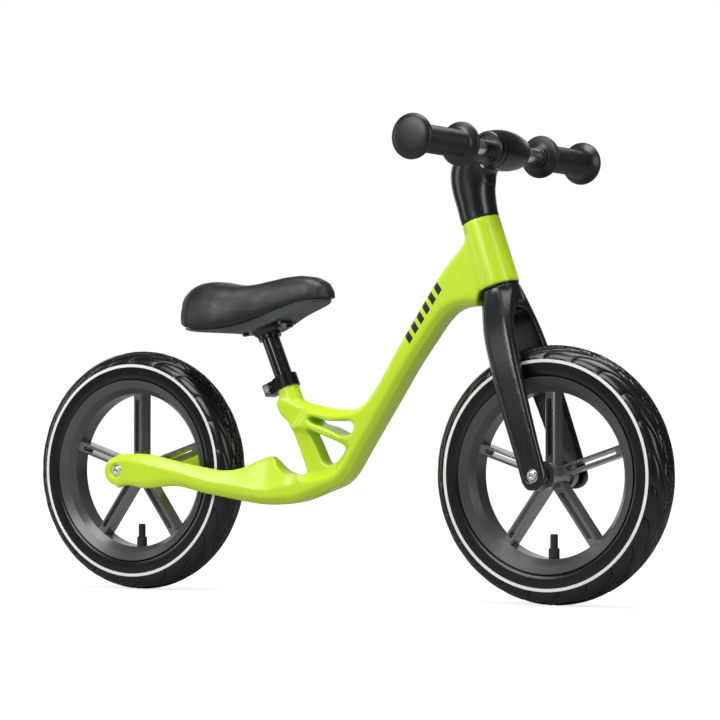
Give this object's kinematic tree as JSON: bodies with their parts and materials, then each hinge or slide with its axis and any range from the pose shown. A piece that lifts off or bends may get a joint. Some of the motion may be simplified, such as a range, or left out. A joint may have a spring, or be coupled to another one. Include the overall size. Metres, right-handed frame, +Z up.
{
  "type": "balance bike",
  "caption": "Child balance bike without pedals: cast frame and fork, spoked wheels with pneumatic tyres, turning front fork, sliding seat post, padded saddle and gripped bar.",
  "frame": {"origin": "on the ground, on the centre plane, midway between the wheel axles", "axes": "+X forwards along the bike, +Y to the rider's left, +Z up"},
  "size_m": [0.891, 0.414, 0.5544],
  "materials": {
    "frame_paint": "gloss lime paint over a light alloy casting",
    "dark_paint": "satin charcoal paint over a light alloy casting",
    "rim_plastic": "moulded glass-filled nylon, semi-gloss",
    "post_paint": "gloss black paint over steel tube",
    "black_plastic": "moulded, fine texture",
    "base_plastic": "moulded, dark grey",
    "bearing_steel": "ground",
    "bolt_steel": "zinc plated",
    "bar_alloy": "polished",
    "clamp_alloy": "dark anodised",
    "grip_rubber": "soft moulded, ribbed",
    "tyre_rubber": "moulded rubber",
    "tube_rubber": "smooth rubber",
    "ring_white": "white rubber band",
    "saddle_cover": "grained synthetic leather"
  },
  "bodies": {
    "frame": {"frame": "frame_paint", "headset_cup_upper": "black_plastic", "headset_cup_lower": "black_plastic", "headset_bearing_upper": "bearing_steel", "headset_bearing_lower": "bearing_steel", "seat_clamp": "clamp_alloy", "seat_clamp_bolt": "bolt_steel", "seat_clamp_nut": "bolt_steel", "rear_bearing_spacer": "bolt_steel", "rear_axle": "bolt_steel", "rear_axle_spacers": "black_plastic", "rear_axle_bolts": "bolt_steel", "rear_axle_washers": "bolt_steel"},
    "fork": {"fork": "dark_paint", "stem": "dark_paint", "stem_bolt": "bolt_steel", "stem_wedge": "bolt_steel", "bar_clamp": "dark_paint", "clamp_screws": "bolt_steel", "handlebar": "bar_alloy", "grip_left": "grip_rubber", "grip_right": "grip_rubber", "front_bearing_spacer": "bolt_steel", "front_axle": "bolt_steel", "front_axle_spacers": "black_plastic", "front_axle_bolts": "bolt_steel", "front_axle_washers": "bolt_steel"},
    "seat": {"seat_post": "post_paint", "saddle_pad": "saddle_cover", "saddle_base": "base_plastic", "saddle_bracket": "black_plastic", "saddle_screws": "bolt_steel"},
    "rear_wheel": {"rear_rim": "rim_plastic", "rear_spokes": "rim_plastic", "rear_tyre": "tyre_rubber", "rear_tyre_rings": "ring_white", "rear_inner_tube": "tube_rubber", "rear_valve": "tube_rubber", "rear_valve_cap": "black_plastic", "rear_wheel_bearings": "bearing_steel"},
    "front_wheel": {"front_rim": "rim_plastic", "front_spokes": "rim_plastic", "front_tyre": "tyre_rubber", "front_tyre_rings": "ring_white", "front_inner_tube": "tube_rubber", "front_valve": "tube_rubber", "front_valve_cap": "black_plastic", "front_wheel_bearings": "bearing_steel"}
  },
  "joints": [
    {"name": "steering", "type": "hinge", "parent": "frame", "child": "fork", "pos_m": [0.2955, 0, 0.15], "axis": [-0.3107, 0, 0.9505], "range_deg": [-30, 30]},
    {"name": "rear_wheel_spin", "type": "hinge", "parent": "frame", "child": "rear_wheel", "pos_m": [-0.2955, 0, 0.15], "axis": [0, 1, 0], "continuous": true},
    {"name": "front_wheel_spin", "type": "hinge", "parent": "fork", "child": "front_wheel", "pos_m": [0.2955, 0, 0.15], "axis": [0, 1, 0], "continuous": true},
    {"name": "seat_height", "type": "slide", "parent": "frame", "child": "seat", "axis": [-0.3907, 0, 0.9205], "range_m": [-0.015, 0.01]}
  ]
}
